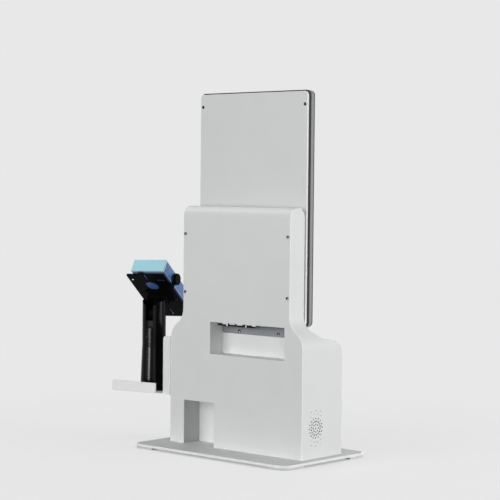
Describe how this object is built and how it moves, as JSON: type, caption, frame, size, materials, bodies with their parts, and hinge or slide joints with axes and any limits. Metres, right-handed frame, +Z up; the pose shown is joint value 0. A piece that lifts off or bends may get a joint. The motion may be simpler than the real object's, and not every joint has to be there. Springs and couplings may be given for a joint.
{
  "type": "self-service kiosk",
  "caption": "Counter kiosk with an upright touch display on a white steel cabinet, a receipt printer, a code scanner and a card terminal on a tilting side stand.",
  "frame": {"origin": "middle of the four counter fixings, on the surface that the kiosk stands on", "axes": "+Z up; the screen and the printer's cover face -Y; +X towards the side stand with the card terminal"},
  "size_m": [0.5598, 0.2585, 0.745],
  "materials": {
    "white_steel": "fine textured white powder coat",
    "grey_steel": "satin grey powder coat",
    "black_rubber": "matt",
    "grey_rubber": "matt",
    "screw_steel": "satin",
    "black_screw": "satin black",
    "zinc_steel": "dull zinc",
    "white_cover": "soft gloss",
    "grey_frame": "satin grey",
    "dark_glass": "gloss",
    "screen_panel": "satin",
    "green_board": "solder mask",
    "dark_board": "solder mask",
    "socket_metal": "bright",
    "black_plastic": "fine grain",
    "grey_plastic": "fine grain",
    "supply_metal": "satin",
    "paper": "paper",
    "black_steel": "fine textured black powder coat",
    "steel": "ground",
    "blue_plastic": "fine grain",
    "light_blue_plastic": "soft satin",
    "key_grey": "satin",
    "key_red": "satin",
    "key_yellow": "satin",
    "key_green": "satin"
  },
  "bodies": {
    "cabinet": {"base_plate": "grey_steel", "base_pads": "grey_rubber", "countersunk_screws": "screw_steel", "rear_housing": "white_steel", "window_recess": "white_steel", "cable_recess": "white_steel", "zinc_plate": "zinc_steel", "main_board": "green_board", "board_sockets": "socket_metal", "small_screws": "screw_steel", "display_bracket": "white_steel", "speaker": "black_plastic", "power_supply": "supply_metal", "display_back_cover": "white_cover", "display_gasket": "black_rubber", "display_frame": "grey_frame", "touch_glass": "dark_glass", "lcd_panel": "screen_panel", "display_screws": "black_screw", "front_panel": "white_steel", "scanner_window": "dark_glass", "scanner_module": "black_plastic", "printer_body": "black_plastic", "print_head": "steel", "printer_hinge_pin": "steel", "side_bracket": "white_steel", "bracket_screws": "screw_steel", "stand_pole": "black_steel"},
    "power_button": {"power_button": "black_plastic"},
    "printer_cover": {"printer_cover": "grey_plastic"},
    "platen": {"platen_roller": "black_rubber"},
    "paper_roll": {"paper_roll": "paper"},
    "release_button": {"cover_release_button": "light_blue_plastic"},
    "swivel": {"swivel_head": "black_steel", "collar_screw": "black_screw", "tilt_pin": "steel"},
    "tilt": {"tilt_arm": "black_steel", "mount_plate": "black_steel", "clamp_jaws": "black_steel", "terminal_rear_shell": "blue_plastic", "terminal_end_cover": "light_blue_plastic", "terminal_front_shell": "blue_plastic", "terminal_screen": "dark_glass", "terminal_board": "dark_board"},
    "clamp_knob": {"clamp_knob": "black_plastic"},
    "key_1": {"key_1": "key_grey"},
    "key_2": {"key_2": "key_grey"},
    "key_3": {"key_3": "key_grey"},
    "key_4": {"key_4": "key_grey"},
    "key_5": {"key_5": "key_grey"},
    "key_6": {"key_6": "key_grey"},
    "key_7": {"key_7": "key_grey"},
    "key_8": {"key_8": "key_grey"},
    "key_9": {"key_9": "key_grey"},
    "key_star": {"key_star": "key_grey"},
    "key_0": {"key_0": "key_grey"},
    "key_hash": {"key_hash": "key_grey"},
    "key_cancel": {"key_cancel": "key_red"},
    "key_clear": {"key_clear": "key_yellow"},
    "key_enter": {"key_enter": "key_green"}
  },
  "joints": [
    {"name": "power_button_press", "type": "slide", "parent": "cabinet", "child": "power_button", "axis": [0, 0, 1], "range_m": [0, 0.0015], "stiffness_N_per_m": 600, "springref_m": -0.002},
    {"name": "printer_cover_hinge", "type": "hinge", "parent": "cabinet", "child": "printer_cover", "pos_m": [-0.07, -0.07705, 0.075], "axis": [1, 0, 0], "range_deg": [0, 75]},
    {"name": "platen_spin", "type": "hinge", "parent": "printer_cover", "child": "platen", "pos_m": [-0.07, -0.06855, 0.159], "axis": [1, 0, 0], "continuous": true},
    {"name": "paper_roll_spin", "type": "hinge", "parent": "cabinet", "child": "paper_roll", "pos_m": [-0.07, -0.02705, 0.0973], "axis": [1, 0, 0], "continuous": true},
    {"name": "release_button_press", "type": "slide", "parent": "cabinet", "child": "release_button", "axis": [0, 1, 0], "range_m": [0, 0.002], "stiffness_N_per_m": 800, "springref_m": -0.002},
    {"name": "stand_swivel", "type": "hinge", "parent": "cabinet", "child": "swivel", "pos_m": [0.2834, -0.00505, 0.2], "axis": [0, 0, 1], "range_deg": [-90, 90]},
    {"name": "terminal_tilt", "type": "hinge", "parent": "swivel", "child": "tilt", "pos_m": [0.2834, -0.00505, 0.2715], "axis": [0.9438, 0.3305, 0], "range_deg": [-36, 24]},
    {"name": "clamp_knob_turn", "type": "hinge", "parent": "tilt", "child": "clamp_knob", "pos_m": [0.23496, -0.02535, 0.34764], "axis": [0.9549, 0.2956, -0.0268], "range_deg": [0, 180]},
    {"name": "key_1_press", "type": "slide", "parent": "tilt", "child": "key_1", "axis": [-0.1952, 0.5574, -0.807], "range_m": [0, 0.0008], "stiffness_N_per_m": 700, "springref_m": -0.001},
    {"name": "key_2_press", "type": "slide", "parent": "tilt", "child": "key_2", "axis": [-0.1952, 0.5574, -0.807], "range_m": [0, 0.0008], "stiffness_N_per_m": 700, "springref_m": -0.001},
    {"name": "key_3_press", "type": "slide", "parent": "tilt", "child": "key_3", "axis": [-0.1952, 0.5574, -0.807], "range_m": [0, 0.0008], "stiffness_N_per_m": 700, "springref_m": -0.001},
    {"name": "key_4_press", "type": "slide", "parent": "tilt", "child": "key_4", "axis": [-0.1952, 0.5574, -0.807], "range_m": [0, 0.0008], "stiffness_N_per_m": 700, "springref_m": -0.001},
    {"name": "key_5_press", "type": "slide", "parent": "tilt", "child": "key_5", "axis": [-0.1952, 0.5574, -0.807], "range_m": [0, 0.0008], "stiffness_N_per_m": 700, "springref_m": -0.001},
    {"name": "key_6_press", "type": "slide", "parent": "tilt", "child": "key_6", "axis": [-0.1952, 0.5574, -0.807], "range_m": [0, 0.0008], "stiffness_N_per_m": 700, "springref_m": -0.001},
    {"name": "key_7_press", "type": "slide", "parent": "tilt", "child": "key_7", "axis": [-0.1952, 0.5574, -0.807], "range_m": [0, 0.0008], "stiffness_N_per_m": 700, "springref_m": -0.001},
    {"name": "key_8_press", "type": "slide", "parent": "tilt", "child": "key_8", "axis": [-0.1952, 0.5574, -0.807], "range_m": [0, 0.0008], "stiffness_N_per_m": 700, "springref_m": -0.001},
    {"name": "key_9_press", "type": "slide", "parent": "tilt", "child": "key_9", "axis": [-0.1952, 0.5574, -0.807], "range_m": [0, 0.0008], "stiffness_N_per_m": 700, "springref_m": -0.001},
    {"name": "key_star_press", "type": "slide", "parent": "tilt", "child": "key_star", "axis": [-0.1952, 0.5574, -0.807], "range_m": [0, 0.0008], "stiffness_N_per_m": 700, "springref_m": -0.001},
    {"name": "key_0_press", "type": "slide", "parent": "tilt", "child": "key_0", "axis": [-0.1952, 0.5574, -0.807], "range_m": [0, 0.0008], "stiffness_N_per_m": 700, "springref_m": -0.001},
    {"name": "key_hash_press", "type": "slide", "parent": "tilt", "child": "key_hash", "axis": [-0.1952, 0.5574, -0.807], "range_m": [0, 0.0008], "stiffness_N_per_m": 700, "springref_m": -0.001},
    {"name": "key_cancel_press", "type": "slide", "parent": "tilt", "child": "key_cancel", "axis": [-0.1952, 0.5574, -0.807], "range_m": [0, 0.0008], "stiffness_N_per_m": 700, "springref_m": -0.001},
    {"name": "key_clear_press", "type": "slide", "parent": "tilt", "child": "key_clear", "axis": [-0.1952, 0.5574, -0.807], "range_m": [0, 0.0008], "stiffness_N_per_m": 700, "springref_m": -0.001},
    {"name": "key_enter_press", "type": "slide", "parent": "tilt", "child": "key_enter", "axis": [-0.1952, 0.5574, -0.807], "range_m": [0, 0.0008], "stiffness_N_per_m": 700, "springref_m": -0.001}
  ],
  "couplings": [
    {"joint": "paper_roll_spin", "follows": "platen_spin", "ratio": 0.18182}
  ]
}
